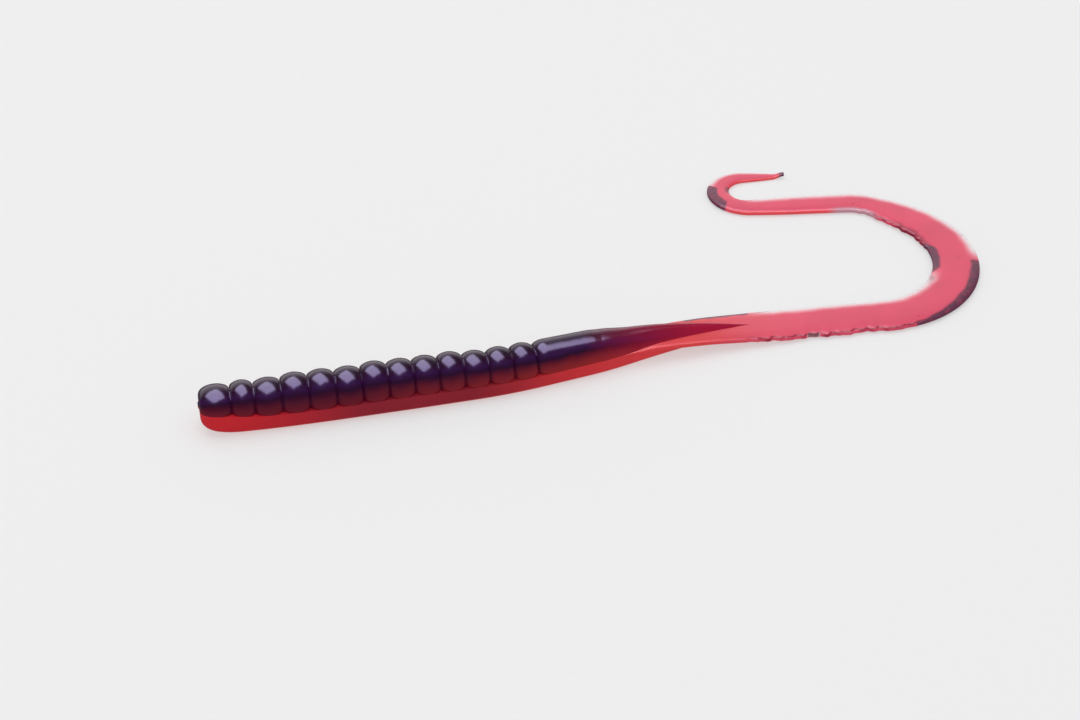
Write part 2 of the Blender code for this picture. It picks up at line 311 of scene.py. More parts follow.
def back_section(at, turn, sizes):
    """The dark shot's arc, turn -90 to 90 degrees from right to left: sideways is the sine times
    the crest width, and height the cosine, raised to a power that grows behind the shoulder so the
    ridge gets hollow feet. Grooves lower the crest."""
    crest = eased(at, CREST, RIDGE[1:])
    groove = groove_share(at, sizes.rib_power)
    radius = (crest - sizes.groove_depth / MM * groove) * nose_share(at, *NOSE_SIDES)
    hollow = 1 + RIDGE_HOLLOW * step(SHOULDER_END, 72.0, at)
    share = 1 - RIDGE_DROP * step(SHOULDER_END + 1.0, 66.0, at)
    ends = np.clip((RIDGE_END - at) / RIDGE_FADE, 0.0, 1.0) ** 0.5
    wide = radius * np.where(at > RIDGE_END - RIDGE_FADE, ends, 1.0)
    sideways = wide * np.sin(turn)
    width = half_width(at, np.sign(sideways))
    foot = flange_top(at, sideways / width, sizes) - FOOT_SUNK * step(SHOULDER_END + 2.0, 62.0, at)
    bead = 1 + RIB_UNEVEN * np.sin(2.3 * np.searchsorted(GROOVES, at)) * (at < GROOVES[-1])
    high = (radius * share * bead - eased(at, PLANE_SHIFT)) * ends**0.5
    up = plane_height(at) + foot + high * np.abs(np.cos(turn)) ** hollow
    rise = np.abs(np.cos(turn)) + np.zeros_like(at)
    return sideways, up, {"rise": rise, "groove": groove + 0 * turn, "along": at + 0 * turn}


def red_section(at, turn, sizes):
    """The red shot's closed outline, turn 0 to 360 degrees from left over the underside to the
    right and back over the top. Below the parting plane it is two superellipses joined, the body or
    keel and the flange. Above it is the flange's top."""
    side = np.sign(np.cos(turn)) + 0 * at
    width = half_width(at, side)
    plane = plane_height(at)
    blade = np.interp(at, *zip(*BLADE_THICKNESS)) / 2
    keel = eased(at, CREST, KEEL[1:]) * nose_share(at, *NOSE_SIDES)
    chin = nose_share(at, *NOSE_CHIN)
    deep = (plane - eased(at, KEEL_RISE)) * chin * (1 - step(80.0, 86.0, at))
    deep = np.maximum(deep, THINNEST[0])
    power = BELLY_POWER - BELLY_POWER_LOST * step(SHOULDER_END, 72.0, at)
    edge = sizes.edge_power
    strip = np.maximum(blade * step(58.0, 66.0, at), THINNEST[1])
    total = np.maximum(deep, strip)
    reach_x = np.abs(width * np.cos(turn))
    reach_z = np.abs(total * np.sin(turn))
    body = ((reach_x / keel) ** power + (reach_z / deep) ** power) ** (-1 / power)
    flange = ((reach_x / width) ** edge + (reach_z / strip) ** edge) ** (-1 / edge)
    flange = flange * step(56.0, 60.0, at)
    scale = np.minimum(joined(body, flange), width / np.maximum(reach_x, 1e-6))
    above = np.sin(turn) < -1e-9
    sideways = np.where(above, width * np.cos(turn), np.sign(np.cos(turn)) * reach_x * scale)
    up = plane + np.where(above, flange_top(at, np.cos(turn), sizes), -reach_z * scale)
    up = up + TIP_LIFT * step(178.6, TIP_AT, at)
    return sideways, up, red_marks(at, sideways, up, width, side)


def red_marks(at, sideways, up, width, side):
    """What shows in the red shot, each from 0 to 1: thin edges, made partly clear and painted pale as
    painted light from the bright ground behind, grape shot bled along an edge, the crimson line of the
    trimmed flash, and clouded clear plastic. They are windows along the worm times a fall with the
    distance from the edge."""
    edge = width - np.abs(sideways)
    left, right = side > 0, side <= 0
    wander = 0.16 * ripple(at, 21, 5.1)
    # thin: far edges of each stretch, painted pale as painted light from the bright ground behind; the
    # same mark makes them partly clear.
    far = np.where(left, window(*THIN_LEFT, at) + window(*THIN_HOOK, at), window(*THIN_RIGHT, at))
    thin = far * (1 - step(0.0, np.minimum(1.9 + wander, 0.85 * width), edge))
    chip = np.where(right, window(*CHIP, at), 0.0) * (1 - step(0.1, 0.5, edge))
    thin = np.maximum(thin, chip)
    bend_band = np.where(right, window(*BLEED_BEND, at) * step(97, 117, at) * BEND_BAND, 0.0)
    inner_band = np.where(left, window(*BLEED_INNER, at) * INNER_BAND, 0.0)
    hook_band = np.where(left, window(*BLEED_HOOK, at) * HOOK_BAND, 0.0)
    root_line = np.where(left, window(*BLEED_ROOT, at) * ROOT_LINE, 0.0)
    reach = bend_band + inner_band + hook_band + root_line
    bleed = step(0.02, 0.5, reach) * (1 - step(reach - 0.3, reach + 0.2, edge + wander * 0.8))
    bleed = np.maximum(bleed, step(179.3, 179.9, at))
    flash_at = 0.2 + 0.12 * ripple(at, 33, 3.1)
    line = np.exp(-(((edge - flash_at) / 0.14) ** 2))
    flash = line * np.where(right, window(*FLASH_RIGHT, at), window(*FLASH_LEFT, at))
    smear = (1 - step(0.15, 1.15 + wander, edge)) * np.where(left, window(*SMEAR, at), 0.0)
    rim_at = np.where(left, window(*RIM_LEFT, at), window(*RIM_RIGHT, at))
    rim = 0.7 * (1 - step(0.0, 0.4, edge)) * rim_at
    clouded = np.where(left, window(*CLOUDED, at), 0.0) * (1 - step(0.1, 0.9, edge))
    patch = np.where(right, window(*PATCH, at), 0.0) * (1 - step(0.2, 0.9, edge))
    return {
        "along": at + 0 * edge,
        "height": up + 0 * edge,
        "thin": thin * (1 - bleed),
        "bleed": np.maximum(bleed, 0.75 * patch),
        "flash": np.maximum(flash, smear),
        "rim": rim,
        "clouded": clouded,
    }


def unit(vectors):
    """Vectors divided by their lengths."""
    return vectors / np.maximum(np.linalg.norm(vectors, axis=-1, keepdims=True), 1e-12)


def surface_normals(points):
    """Outward normals of a grid that has one spare row at each end: the cross product of the central
    differences along and around, one-sided at the first and last column."""
    along = points[2:] - points[:-2]
    around = np.gradient(points[1:-1], axis=1)
    return unit(np.cross(along, around))


def places(start, end, pitch):
    """Even places from start to end, with a place exactly in each groove, closer together at the
    nose."""
    count = max(2, round((end - start) / pitch))
    even = np.linspace(start, end, count + 1)
    grooves = [at for at in GROOVES if start < at < end]
    for at in grooves:
        even[np.argmin(np.abs(even - at))] = at
    if start == 0.0:
        fine = NOSE_FINE * np.linspace(0.0, 1.0, 9)[:-1] ** 2
        even = np.concatenate([fine, even[even >= NOSE_FINE]])
    return even


def write_mesh(name, points, faces, corner_normals, marks):
    """Makes the object. Its custom corner normals are the true surface's, so the shading runs on
    across a seam, and a zero one stands for the face's own."""
    mesh = bpy.data.meshes.new(name)
    mesh.from_pydata(points.reshape(-1, 3), [], faces)
    mesh.update()
    mesh.shade_smooth()
    mesh.normals_split_custom_set(corner_normals)
    for key, values in marks.items():
        attribute = mesh.attributes.new(key, "FLOAT", "POINT")
        attribute.data.foreach_set("value", values.astype(np.float32))
    piece = bpy.data.objects.new(name, mesh)
    bpy.context.scene.collection.objects.link(piece)
    return piece


def skin(name, section, at, arcs, sizes, nose, material):
    """One closed piece: a section carried along the centreline. arcs are the arrays of turns whose
    joints are the section's corners. The normals come from the surface itself, with one spare
    section beyond each end, and where two arcs meet they are averaged as the flange gets its
    rounded edge."""
    turns = np.concatenate([arc[:-1] for arc in arcs] + ([arcs[-1][-1:]] if len(arcs) == 1 else []))
    step_out = 1e-3
    spread = np.concatenate([[at[0] - step_out], at, [at[-1] + step_out]])
    if nose:
        spread[0] = at[0]
    sideways, up, marks = section(spread[:, None], turns[None, :], sizes)
    grid = world(spread[:, None], sideways, up)
    rings = grid[1:-1]
    marks = {key: values[1:-1] for key, values in marks.items()}
    normals = []
    for arc in arcs:
        bent, raised, _ = section(spread[:, None], arc[None, :], sizes)
        normals.append(surface_normals(world(spread[:, None], bent, raised)))
    if len(arcs) == 2:
        smooth = step(SHOULDER_END + 2.0, SHOULDER_END + 7.0, at)[:, None]
        for first, i, second, j in ((0, -1, 1, 0), (1, -1, 0, 0)):
            mean = unit(normals[first][:, i] + normals[second][:, j])
            normals[first][:, i] = unit(normals[first][:, i] * (1 - smooth) + mean * smooth)
            normals[second][:, j] = unit(normals[second][:, j] * (1 - smooth) + mean * smooth)
    if nose:
        centre = world(np.array([0.0, 1.0]), np.zeros(2), np.zeros(2))
        ahead = unit(centre[0] - centre[1])
        for arc_normals in normals:
            arc_normals[0] = ahead
    return close_up(name, rings, normals, arcs, marks, nose, material)


def close_up(name, rings, normals, arcs, marks, nose, material):
    """Faces of a skin: quads between rings, one strip for the flat base if the section is a single
    arc, and a fan round a middle point at each end. At the nose the section first shrinks towards
    that point in even rings, with the low stub where the gate was cut."""
    rows, count = rings.shape[:2]
    middles = rings.mean(axis=1)
    middles[:, 2] = (rings[:, :, 2].min(axis=1) + rings[:, :, 2].max(axis=1)) / 2
    if nose:
        shrink = np.linspace(0.0, 1.0, NOSE_RINGS + 2)[1:-1][:, None, None]
        hub = rings[0].mean(axis=0)
        hub[2] = plane_height(np.array(0.0)) * MM + (NOSE_GAP if len(arcs) == 1 else -NOSE_GAP) * MM
        face = hub + (rings[0][None] - hub) * shrink
        reach = np.linalg.norm(face - hub, axis=-1) / MM
        face[..., 0] -= GATE_STUB * MM * (1 - step(*GATE_RADII, reach))
        hub[0] -= GATE_STUB * MM
        rings = np.concatenate([face, rings])
        extra = len(face)
        marks = {key: np.concatenate([np.repeat(v[:1], extra, axis=0), v]) for key, v in marks.items()}
        normals = [np.concatenate([np.repeat(n[:1], extra, axis=0), n]) for n in normals]
        rows += extra
        start_middle = hub
    else:
        start_middle = middles[0]
    index = np.arange(rows * count).reshape(rows, count)
    faces, corners, first = [], [], 0
    for arc, arc_normals in zip(arcs, normals):
        columns = (first + np.arange(len(arc))) % count
        a, b = index[:-1][:, columns[:-1]], index[:-1][:, columns[1:]]
        c, d = index[1:][:, columns[1:]], index[1:][:, columns[:-1]]
        faces.append(np.stack([a, d, c, b], axis=-1).reshape(-1, 4))
        quads = [arc_normals[:-1, :-1], arc_normals[1:, :-1], arc_normals[1:, 1:], arc_normals[:-1, 1:]]
        corners.append(np.stack(quads, axis=2).reshape(-1, 3))
        first += len(arc) - 1
    if len(arcs) == 1:
        base = np.stack([index[:-1, -1], index[1:, -1], index[1:, 0], index[:-1, 0]], axis=-1)
        faces.append(base)
        corners.append(np.zeros((base.size, 3)))
    start, end = rows * count, rows * count + 1
    around = np.arange(count)
    after = (around + 1) % count
    fans = [
        np.stack([index[0][around], index[0][after], np.full(count, start)], axis=-1),
        np.stack([index[-1][after], index[-1][around], np.full(count, end)], axis=-1),
    ]
    corners.append(np.zeros((2 * 3 * count, 3)))
    points = np.concatenate([rings.reshape(-1, 3), start_middle[None], middles[-1][None]])
    flat = {key: np.concatenate([v.reshape(-1), v[:1, 0], v[-1:, 0]]) for key, v in marks.items()}
    polygons = [row for block in faces + fans for row in block.tolist()]
    piece = write_mesh(name, points, polygons, np.concatenate(corners), flat)
    piece.data.materials.append(material)
    return piece


def bend_with_hinge(piece):
    """Bakes the piece's transform into its mesh; it does not blend the piece over its hinge."""
    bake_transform(piece)


def span_name(span):
    """Names a span after the two bodies that it joins."""
    return f"{CHAIN[span]}_to_{CHAIN[span + 1]}"


def nodes_of(span, ending):
    """The frame's nodes that a span stands for: its second body's, and for the first span also the
    nose's."""
    bodies = CHAIN[:2] if span == 0 else CHAIN[span + 1 : span + 2]
    return [body + ending for body in bodies if body + ending in frame["nodes"]]


# Colours and materials


def linear(code):
    """Linear colour of an sRGB hex value: each channel over 12.92 when dark, else to the power
    2.4."""
    channels = [int(code[i : i + 2], 16) / 255 for i in (1, 3, 5)]
    return tuple(c / 12.92 if c <= 0.04045 else ((c + 0.055) / 1.055) ** 2.4 for c in channels)


def add(tree, kind, links=(), stops=(), **settings):
    """Adds a node. settings set its properties, links its sockets, as (socket, value or another
    socket), and stops the colours of a ramp, as (place, colour)."""
    node = tree.nodes.new(kind)
    for key, value in settings.items():
        setattr(node, key, value)
    for socket, value in links:
        if isinstance(value, bpy.types.NodeSocket):
            tree.links.new(value, node.inputs[socket])
        else:
            node.inputs[socket].default_value = value
    if stops:
        elements = node.color_ramp.elements
        elements.remove(elements[-1])
        elements[0].position, elements[0].color = stops[0][0], (*stops[0][1], 1.0)
        for place, colour in stops[1:]:
            elements.new(place).color = (*colour, 1.0)
    return node


def new_material(name):
    """An empty node material and its output."""
    material = bpy.data.materials.new(name)
    material.use_nodes = True
    tree = material.node_tree
    tree.nodes.clear()
    return material, tree, tree.nodes.new("ShaderNodeOutputMaterial")


def gloss_bump(tree, coordinates, grain_mm, strength_mm):
    """The mould's fine peened finish, as it prints on the plastic, over a slower unevenness of the
    skin."""
    grain = add(
        tree,
        "ShaderNodeTexNoise",
        [("Vector", coordinates), ("Scale", 1 / (grain_mm * MM)), ("Detail", 3.0)],
    )
    slow = add(
        tree,
        "ShaderNodeTexNoise",
        [("Vector", coordinates), ("Scale", 1 / (SKIN_WAVE * MM)), ("Detail", 1.0)],
    )
    first = add(
        tree,
        "ShaderNodeBump",
        [("Height", slow.outputs[0]), ("Distance", SKIN_WAVE_DEPTH * MM), ("Strength", 0.5)],
    )
    links = [("Height", grain.outputs[0]), ("Distance", strength_mm * MM), ("Strength", 0.5)]
    return add(tree, "ShaderNodeBump", links + [("Normal", first.outputs[0])]).outputs[0]


def grape_plastisol(colours):
    """Dark grape plastisol, the back's shot: soft PVC with violet pigment, cast against a peened
    mould. The eye sees a wet gloss over a colour that is nearly black where the shot is thickest and
    turns crimson where it thins out over the red shot. A violet band partway down the back is painted
    sheen, at the height where the lamp's highlight falls."""
    material, tree, output = new_material("grape_plastisol_moulded")
    place = add(tree, "ShaderNodeTexCoord").outputs["Object"]
    rise = add(tree, "ShaderNodeAttribute", attribute_name="rise").outputs["Fac"]
    groove = add(tree, "ShaderNodeAttribute", attribute_name="groove").outputs["Fac"]
    along = add(tree, "ShaderNodeAttribute", attribute_name="along").outputs["Fac"]
    cloud = add(
        tree,
        "ShaderNodeTexNoise",
        [("Vector", place), ("Scale", 1 / (PIGMENT_CLOUD * MM)), ("Detail", 2.0)],
    )
    shift = add(
        tree, "ShaderNodeMapRange", [(VALUE, cloud.outputs[0]), (TO_MIN, -0.09), (TO_MAX, 0.09)]
    )
    height = add(tree, "ShaderNodeMath", [(0, rise), (1, shift.outputs[0])], operation="ADD").outputs[0]
    # Colour by height on the section: crimson where the grape shot thins over the red shot, nearly
    # black where it is thickest, and a violet band of painted sheen at the height where the lamp's
    # highlight falls on every rib.
    thickness_and_painted_sheen = add(
        tree,
        "ShaderNodeValToRGB",
        [(0, height)],
        stops=[
            (0.0, linear(colours.rib_foot)),
            (0.34, linear(colours.rib_flank)),
            (0.6, linear(colours.grape)),
            # painted sheen: violet band at the height of the lamp's highlight
            (0.76, linear(colours.violet)),
            (0.9, linear(colours.grape)),
            (1.0, linear(colours.crown)),
        ],
    ).outputs[0]
    warm = add(
        tree, "ShaderNodeMapRange", [(VALUE, along), (FROM_MIN, 20.0), (FROM_MAX, 60.0)]
    ).outputs[0]
    low = add(
        tree, "ShaderNodeMapRange", [(VALUE, height), (FROM_MIN, 0.6), (FROM_MAX, 0.1)]
    ).outputs[0]
    warm_low = add(tree, "ShaderNodeMath", [(0, warm), (1, low)], operation="MULTIPLY").outputs[0]
    warmed = add(
        tree,
        "ShaderNodeMix",
        [(FACTOR, warm_low), (FIRST, thickness_and_painted_sheen), (SECOND, (*linear(colours.rear_foot), 1))],
        data_type="RGBA",
    )
    runs_out = add(
        tree, "ShaderNodeMapRange", [(VALUE, along), (FROM_MIN, 54.0), (FROM_MAX, 73.0)]
    ).outputs[0]
    faded = add(
        tree,
        "ShaderNodeMix",
        [(FACTOR, runs_out), (FIRST, warmed.outputs[MIXED]), (SECOND, (*linear(colours.ridge_end), 1))],
        data_type="RGBA",
    )
    valley = add(
        tree, "ShaderNodeMapRange", [(VALUE, groove), (FROM_MIN, 0.3), (FROM_MAX, 1.0), (TO_MAX, 0.6)]
    ).outputs[0]
    mixed = add(
        tree,
        "ShaderNodeMix",
        [(FACTOR, valley), (FIRST, faded.outputs[MIXED]), (SECOND, (*linear(colours.groove), 1))],
        data_type="RGBA",
    )
    links = [
        ("Base Color", mixed.outputs[MIXED]),
        ("Roughness", 0.2),
        ("IOR", PLASTISOL_IOR),
        ("Specular IOR Level", 0.5),
        ("Specular Tint", (*linear(colours.sheen), 1)),
        ("Normal", gloss_bump(tree, place, GRAPE_GRAIN, GRAPE_GRAIN_DEPTH)),
    ]
    shader = add(tree, "ShaderNodeBsdfPrincipled", links)
    tree.links.new(shader.outputs[0], output.inputs[0])
    return material


def red_plastisol(colours):
    """Clear red plastisol, the belly's shot and the ribbon: the same soft PVC with red dye and no
    opaque pigment. Thick, the eye sees a deep glossy red; moulded thin it lets light through and
    looks pink, and its thinnest edges are nearly clear and painted pale, as painted light from the
    bright ground behind them."""
    material, tree, output = new_material("clear_red_plastisol_moulded")
    place = add(tree, "ShaderNodeTexCoord").outputs["Object"]
    marks = {
        name: add(tree, "ShaderNodeAttribute", attribute_name=name).outputs["Fac"]
        for name in ("along", "height", "thin", "bleed", "flash", "rim", "clouded")
    }
    share = add(
        tree, "ShaderNodeMath", [(0, marks["along"]), (1, TIP_AT)], operation="DIVIDE"
    ).outputs[0]
    reds = [
        (0.0, colours.nose_red),
        (6.0, colours.nose_red),
        (22.0, colours.belly_red),
        (38.0, colours.belly_red),
        (52.0, colours.rear_red),
        (72.0, colours.keel_red),
        (80.0, colours.root_pink),
        (90.0, colours.ribbon_pink),
    ]
    stops = [(at / TIP_AT, linear(code)) for at, code in reds]
    base = add(tree, "ShaderNodeValToRGB", [(0, share)], stops).outputs[0]
    cloud = add(
        tree,
        "ShaderNodeTexNoise",
        [("Vector", place), ("Scale", 1 / (DYE_CLOUD * MM)), ("Detail", 2.0)],
    )
    uneven = add(
        tree,
        "ShaderNodeMapRange",
        [(VALUE, cloud.outputs[0]), (FROM_MIN, 0.3), (FROM_MAX, 0.7), (TO_MIN, 0.93), (TO_MAX, 1.05)],
    )
    shaded = add(tree, "ShaderNodeHueSaturation", [("Value", uneven.outputs[0]), ("Color", base)])
    mottle = add(
        tree,
        "ShaderNodeTexNoise",
        [("Vector", place), ("Scale", 1 / (BLEED_MOTTLE * MM)), ("Detail", 3.0)],
    )
    patchy = add(
        tree,
        "ShaderNodeMapRange",
        [(VALUE, mottle.outputs[0]), (FROM_MIN, 0.32), (FROM_MAX, 0.52), (TO_MIN, 0.8), (TO_MAX, 1.0)],
    )
    bled = add(
        tree, "ShaderNodeMath", [(0, marks["bleed"]), (1, patchy.outputs[0])], operation="MULTIPLY"
    )
    colour = shaded.outputs[0]
    low = add(
        tree,
        "ShaderNodeMapRange",
        [(VALUE, marks["height"]), (FROM_MIN, 0.15), (FROM_MAX, 0.95), (TO_MIN, 0.8), (TO_MAX, 0.0)],
    ).outputs[0]
    on_body = add(
        tree, "ShaderNodeMapRange", [(VALUE, marks["along"]), (FROM_MIN, 84.0), (FROM_MAX, 72.0)]
    ).outputs[0]
    lower_rim = add(tree, "ShaderNodeMath", [(0, low), (1, on_body)], operation="MULTIPLY").outputs[0]
    for factor, code in (
        (lower_rim, colours.lit_rim),
        (marks["rim"], colours.lit_rim),
        # painted light: thin edges painted near white, as the bright ground seen through them
        (marks["thin"], colours.thin_edge_painted_light),
        (marks["clouded"], colours.clouded),
        (marks["flash"], colours.flash),
        (bled.outputs[0], colours.bleed),
    ):
        links = [(FACTOR, factor), (FIRST, colour), (SECOND, (*linear(code), 1))]
        colour = add(tree, "ShaderNodeMix", links, data_type="RGBA").outputs[MIXED]
    links = [("Vector", place), ("Scale", 1 / (SPECK_SPACING * MM))]
    specks = add(tree, "ShaderNodeTexVoronoi", links)
    dust = add(
        tree,
        "ShaderNodeMapRange",
        [
            (VALUE, specks.outputs["Distance"]),
            (FROM_MIN, 0.03),
            (FROM_MAX, 0.045),
            (TO_MIN, 0.7),
            (TO_MAX, 0.0),
        ],
    )
    colour = add(
        tree,
        "ShaderNodeMix",
        [(FACTOR, dust.outputs[0]), (FIRST, colour), (SECOND, (*linear(colours.flash), 1))],
        data_type="RGBA",
    )
    clear = add(
        tree,
        "ShaderNodeMapRange",
        [(VALUE, marks["thin"]), (FROM_MIN, 0.35), (FROM_MAX, 1.0), (TO_MIN, 1.0), (TO_MAX, 0.12)],
    )
    links = [
        ("Base Color", colour.outputs[MIXED]),
        ("Roughness", 0.3),
        ("IOR", PLASTISOL_IOR),
        ("Specular IOR Level", 0.26),
        ("Alpha", clear.outputs[0]),
        ("Normal", gloss_bump(tree, place, RED_GRAIN, RED_GRAIN_DEPTH)),
    ]
    shader = add(tree, "ShaderNodeBsdfPrincipled", links)
    tree.links.new(shader.outputs[0], output.inputs[0])
    return material


def the_material(maker, name):
    """A material made once and then shared."""
    return bpy.data.materials.get(name) or maker(bpy.context.scene.worm_colours)


# What a user would change


class WormSizes(bpy.types.PropertyGroup):
    """Sizes of the moulding that don't change the frame."""

    groove_depth: bpy.props.FloatProperty(
        name="Groove depth",
        description="How far each groove sinks below the ribs",
        default=0.85 * MM,
        unit="LENGTH",
    )
    rib_power: bpy.props.FloatProperty(
        name="Rib fullness",
        description="Power of each rib's superellipse: 2 is round and more is squarer",
        default=1.8,
    )
    edge_power: bpy.props.FloatProperty(
        name="Edge fullness",
        description="Power of the ribbon's section: 2 is lens-shaped, more is squarer",
        default=3.0,
    )
    rib_pitch: bpy.props.FloatProperty(
        name="Mesh pitch on the body",
        description="Distance between rings on the body",
        default=0.11 * MM,
        unit="LENGTH",
    )
    ribbon_pitch: bpy.props.FloatProperty(
        name="Mesh pitch on the ribbon",
        description="Distance between rings on the ribbon",
        default=0.16 * MM,
        unit="LENGTH",
    )


def colour_text(label, words, code):
    """A property that holds an sRGB hex value."""
    return bpy.props.StringProperty(name=label, description=words, default=code, maxlen=7)


class WormColours(bpy.types.PropertyGroup):
    """Colours of the two shots, as sRGB hex values."""

    rib_foot: colour_text("Rib foot", "Grape shot where it is thin, at the parting line", "#70101C")
    rib_flank: colour_text("Rib flank", "Grape shot above the parting line", "#560B1E")
    rear_foot: colour_text("Rear foot", "The same at the rear, where the shot is thinner", "#92201C")
    grape: colour_text("Grape", "Grape shot where it is thick", "#2C0A2A")
    # Painted sheen: the violet band is painted at a fixed height, where the lamp's highlight falls.
    violet: colour_text("Violet", "The band where light comes back through the pigment", "#341043")
    crown: colour_text("Crown", "Top of the back", "#2A1A26")
    groove: colour_text("Groove", "Bottom of a groove", "#381032")
    ridge_end: colour_text("Ridge end", "Where the ridge runs out", "#A80C32")
    sheen: colour_text("Sheen", "Tint of the pigment's reflection", "#DCD2FF")
    nose_red: colour_text("Nose red", "Belly at the nose", "#C81C28")
    belly_red: colour_text("Belly red", "Belly under the ribs", "#8C1A2A")
    rear_red: colour_text("Rear red", "Belly under the shoulder", "#CC2A32")
    keel_red: colour_text("Keel red", "Keel of the tail root", "#DE4044")
    root_pink: colour_text("Root pink", "Ribbon where it leaves the root", "#E04E62")
    ribbon_pink: colour_text("Ribbon pink", "The ribbon's flat", "#E04E69")
    # Painted light: the near-white colour of thin edges stands in for the bright ground seen through
    # them.
    thin_edge_painted_light: colour_text("Thin edge", "Edges that let the light through", "#FCE2E7")
    lit_rim: colour_text("Lit rim", "Where light from below comes through a rounded edge", "#EC4A46")
    clouded: colour_text("Clouded", "Stretched plastic at the kink", "#C08A98")
    flash: colour_text("Flash", "The trimmed edge", "#8E1232")
    bleed: colour_text("Bleed", "Grape shot bled along an edge", "#63324A")
    floor: colour_text("Floor", "Studio floor", "#A8A8A8")


# Operators

LOWER = np.linspace(0.0, math.pi, 65)
UPPER = np.linspace(math.pi, 2 * math.pi, 49)
OVER = np.linspace(-math.pi / 2, math.pi / 2, 73)


def make_span(prefix, section, span, arcs, sizes, pitch, material, end=None):
    """Makes one piece over a span, names it after the span and bakes its transform into its mesh."""
    at = places(SEAMS[span], end or SEAMS[span + 1], pitch / MM)
    name = f"{prefix}_{span_name(span)}"
    piece = skin(name, section, at, arcs, sizes, span == 0, material)
    bend_with_hinge(piece)
    return piece


class WORM_OT_back(bpy.types.Operator):
    """Makes the dark ribbed back and the smooth shoulder"""

    bl_idname = "worm.back"
    bl_label = "Back"

    def execute(self, context):
        sizes = context.scene.worm_sizes
        material = the_material(grape_plastisol, "grape_plastisol_moulded")
        for span in range(CHAIN.index("shoulder_2")):
            piece = make_span(
                "back", back_section, span, [OVER], sizes, sizes.rib_pitch, material
            )
            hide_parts(*nodes_of(span, "_back"))
        return {"FINISHED"}


class WORM_OT_ridge(bpy.types.Operator):
    """Makes the ridge that runs out over the tail root"""

    bl_idname = "worm.ridge"
    bl_label = "Ridge"

    def execute(self, context):
        sizes = context.scene.worm_sizes
        material = the_material(grape_plastisol, "grape_plastisol_moulded")
        first = CHAIN.index("shoulder_2")
        for span in range(first, first + 3):
            end = min(SEAMS[span + 1], RIDGE_END - 0.02)
            piece = make_span(
                "ridge",
                back_section,
                span,
                [OVER],
                sizes,
                sizes.rib_pitch * 1.3,
                material,
                end,
            )
            nodes = nodes_of(span, "_ridge")
            if nodes:
                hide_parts(*nodes)
        return {"FINISHED"}


class WORM_OT_belly(bpy.types.Operator):
    """Makes the clear red belly and the keel of the tail root"""

    bl_idname = "worm.belly"
    bl_label = "Belly and keel"

    def execute(self, context):
        sizes = context.scene.worm_sizes
        material = the_material(red_plastisol, "clear_red_plastisol_moulded")
        for span in range(CHAIN.index("root_2")):
            piece = make_span(
                "belly",
                red_section,
                span,
                [LOWER, UPPER],
                sizes,
                sizes.rib_pitch * 1.3,
                material,
            )
            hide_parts(*(nodes_of(span, "_belly") + nodes_of(span, "_keel")))
        return {"FINISHED"}


class WORM_OT_ribbon(bpy.types.Operator):
    """Makes the thin ribbon with its trimmed edges, bend and hook"""

    bl_idname = "worm.ribbon"
    bl_label = "Ribbon"

    def execute(self, context):
        sizes = context.scene.worm_sizes
        material = the_material(red_plastisol, "clear_red_plastisol_moulded")
        for span in range(CHAIN.index("root_2"), len(CHAIN) - 1):
            piece = make_span(
                "tail",
                red_section,
                span,
                [LOWER, UPPER],
                sizes,
                sizes.ribbon_pitch,
                material,
            )
            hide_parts(*nodes_of(span, ""))
        return {"FINISHED"}


def softbox(name, place, size, power, tint, turn):
    """A rectangular lamp that faces straight down, turned by some degrees in its own plane."""
    lamp = bpy.data.lights.new(name, "AREA")
    lamp.shape = "RECTANGLE"
    lamp.size, lamp.size_y = size
    lamp.energy = power
    lamp.color = tint
    holder = bpy.data.objects.new(name, lamp)
    bpy.context.scene.collection.objects.link(holder)
    holder.location = place
    holder.rotation_euler = (0.0, 0.0, math.radians(turn))
    return holder


def studio_world():
    """Even pale light all round; glossy surfaces see a darker room, as they do between black
    drapes."""
    surroundings = bpy.data.worlds.new("studio")
    surroundings.use_nodes = True
    tree = surroundings.node_tree
    tree.nodes.clear()
    rays = add(tree, "ShaderNodeLightPath")
    direction = add(tree, "ShaderNodeTexCoord").outputs["Generated"]
    split = add(tree, "ShaderNodeSeparateXYZ", [(0, direction)])
    behind = add(
        tree,
        "ShaderNodeMapRange",
        [(VALUE, split.outputs[1]), (FROM_MIN, 0.45), (FROM_MAX, 0.85), (TO_MIN, 0.05), (TO_MAX, 1.6)],
    )
    pale = add(tree, "ShaderNodeBackground", [("Color", (0.98, 0.985, 1.0, 1.0)), ("Strength", 0.86)])
    dim = add(
        tree,
        "ShaderNodeBackground",
        [("Color", (1.0, 0.95, 0.93, 1.0)), ("Strength", behind.outputs[0])],
    )
    both = add(
        tree,
        "ShaderNodeMixShader",
        [(0, rays.outputs["Is Glossy Ray"]), (1, pale.outputs[0]), (2, dim.outputs[0])],
    )
    output = tree.nodes.new("ShaderNodeOutputWorld")
    tree.links.new(both.outputs[0], output.inputs[0])
    bpy.context.scene.world = surroundings


